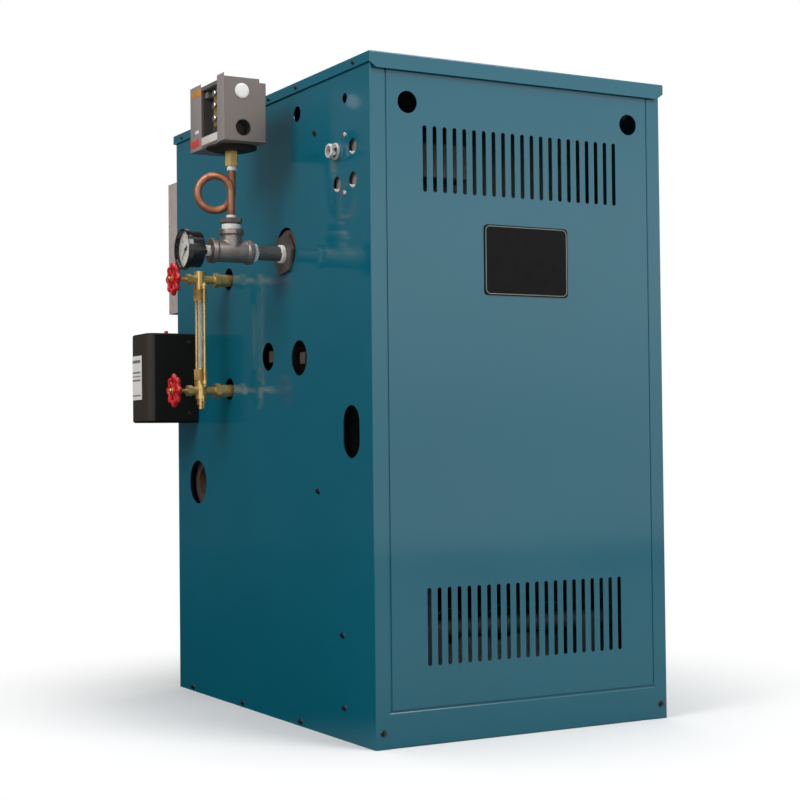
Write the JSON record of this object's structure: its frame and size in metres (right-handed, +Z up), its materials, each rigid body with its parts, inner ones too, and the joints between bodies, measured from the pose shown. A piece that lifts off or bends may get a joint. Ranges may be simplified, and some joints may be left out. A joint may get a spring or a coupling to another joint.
{
  "type": "cast iron steam boiler",
  "caption": "Gas-fired cast iron steam boiler in a teal sheet-metal jacket with a slotted lift-off door, side steam gauge, looped siphon, pressure control and water gauge.",
  "frame": {"origin": "on the floor under the middle of the jacket's footprint", "axes": "+X to the right seen from the front, +Y from the front to the rear, +Z up"},
  "size_m": [0.7115, 0.957, 1.016],
  "materials": {
    "jacket_paint": "semi-gloss teal enamel on folded sheet",
    "galvanised_sheet": "galvanised sheet, dull spangle",
    "zinc": "bright zinc",
    "cast_iron": "raw casting with light rust",
    "black_iron_pipe": "black steel pipe",
    "malleable_iron": "bare malleable iron",
    "gas_valve_grey": "cast housing",
    "plate_black": "bare black plate with a pale rim",
    "copper": "bent copper tube",
    "brass": "turned brass",
    "control_grey": "grey painted case",
    "control_dark": "dark works",
    "gauge_black": "black enamelled case",
    "dial_white": "white dial",
    "clear_glass": "clear glass",
    "wheel_red": "red painted casting",
    "cutoff_black": "black painted box"
  },
  "bodies": {
    "boiler": {"base_box": "galvanised_sheet", "burner_tubes": "galvanised_sheet", "conduit_connector": "zinc", "control_case": "control_grey", "control_diaphragm": "control_dark", "control_works": "control_dark", "draft_hood": "galvanised_sheet", "flue_canopy": "galvanised_sheet", "flue_collar": "galvanised_sheet", "front_door": "jacket_paint", "front_strip": "jacket_paint", "gas_manifold": "black_iron_pipe", "gas_valve": "gas_valve_grey", "gauge_drain_cock": "brass", "gauge_glass": "clear_glass", "guard_rods": "brass", "inner_front_panel": "galvanised_sheet", "left_side_panel": "jacket_paint", "left_supply_boss": "cast_iron", "lid": "jacket_paint", "lower_gauge_valve": "brass", "lwco_case": "cutoff_black", "lwco_nipple": "brass", "name_plate": "plate_black", "rear_panel": "jacket_paint", "right_side_panel": "jacket_paint", "right_supply_boss": "cast_iron", "section_1": "cast_iron", "section_2": "cast_iron", "section_3": "cast_iron", "section_4": "cast_iron", "section_5": "cast_iron", "siphon_adapter": "brass", "siphon_loop": "copper", "steam_gauge_case": "gauge_black", "steam_gauge_dial": "dial_white", "steam_gauge_lens": "clear_glass", "tapping_bushing": "malleable_iron", "tapping_plugs": "cast_iron", "tee_bushing": "malleable_iron", "transformer": "gas_valve_grey", "trim_nipple": "black_iron_pipe", "trim_tee": "malleable_iron", "upper_gauge_valve": "brass", "wiring_box": "zinc"},
    "upper_wheel": {"upper_handwheel": "wheel_red", "upper_valve_stem": "brass"},
    "lower_wheel": {"lower_handwheel": "wheel_red", "lower_valve_stem": "brass"}
  },
  "joints": [
    {"name": "upper_wheel_turn", "type": "hinge", "parent": "boiler", "child": "upper_wheel", "pos_m": [-0.369, 0.139, 0.7255], "axis": [-1, 0, 0], "range_deg": [0, 630]},
    {"name": "lower_wheel_turn", "type": "hinge", "parent": "boiler", "child": "lower_wheel", "pos_m": [-0.369, 0.139, 0.536], "axis": [-1, 0, 0], "range_deg": [0, 630]}
  ]
}
